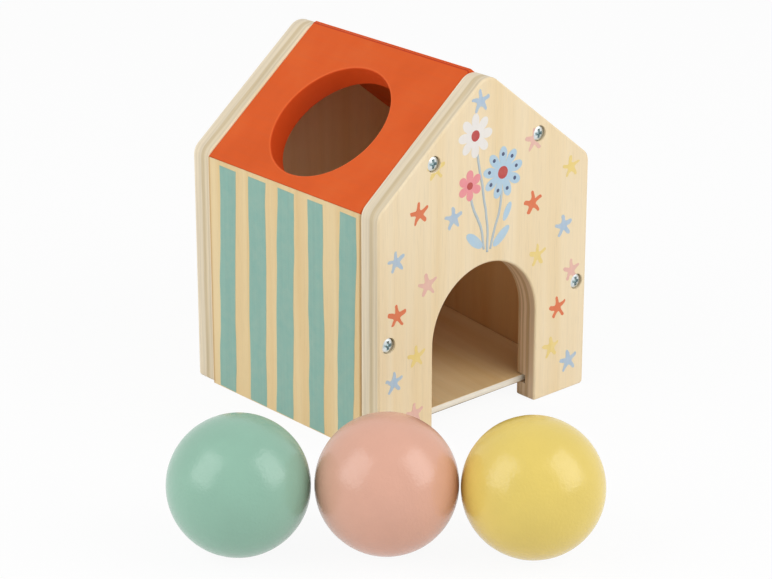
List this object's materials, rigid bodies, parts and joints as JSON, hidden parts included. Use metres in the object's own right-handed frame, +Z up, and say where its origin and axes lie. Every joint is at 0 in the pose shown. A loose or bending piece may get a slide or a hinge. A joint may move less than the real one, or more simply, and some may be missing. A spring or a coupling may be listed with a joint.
{
  "type": "object permanence box",
  "caption": "Plywood house toy with a round ball hole in one roof panel and a sloping floor that rolls the dropped ball out of an arched doorway, with loose painted balls.",
  "frame": {"origin": "middle of the back gable's foot, on the plane of the table", "axes": "+Z up, -Y out of the doorway, -X towards the roof panel with the ball hole"},
  "size_m": [0.2195, 0.225, 0.139],
  "materials": {
    "plywood": "clear satin lacquer",
    "roof_paint": "satin orange paint",
    "ramp_board": "bare",
    "zinc": "zinc plated",
    "green_paint": "satin green paint",
    "pink_paint": "satin pink paint",
    "yellow_paint": "satin yellow paint"
  },
  "bodies": {
    "house": {"front_gable": "plywood", "back_gable": "plywood", "left_wall": "plywood", "right_wall": "plywood", "left_roof": "roof_paint", "right_roof": "roof_paint", "ramp": "ramp_board", "front_left_wall_screw": "zinc", "front_right_wall_screw": "zinc", "front_left_roof_screw": "zinc", "front_right_roof_screw": "zinc", "back_left_wall_screw": "zinc", "back_right_wall_screw": "zinc", "back_left_roof_screw": "zinc", "back_right_roof_screw": "zinc"},
    "green_ball": {"green_ball": "green_paint"},
    "pink_ball": {"pink_ball": "pink_paint"},
    "yellow_ball": {"yellow_ball": "yellow_paint"}
  },
  "joints": [
    {"name": "green_ball_lift", "type": "slide", "parent": "house", "child": "green_ball", "axis": [0, 0, 1], "range_m": [0, 0.16]},
    {"name": "pink_ball_lift", "type": "slide", "parent": "house", "child": "pink_ball", "axis": [0, 0, 1], "range_m": [0, 0.16]},
    {"name": "yellow_ball_lift", "type": "slide", "parent": "house", "child": "yellow_ball", "axis": [0, 0, 1], "range_m": [0, 0.16]}
  ]
}
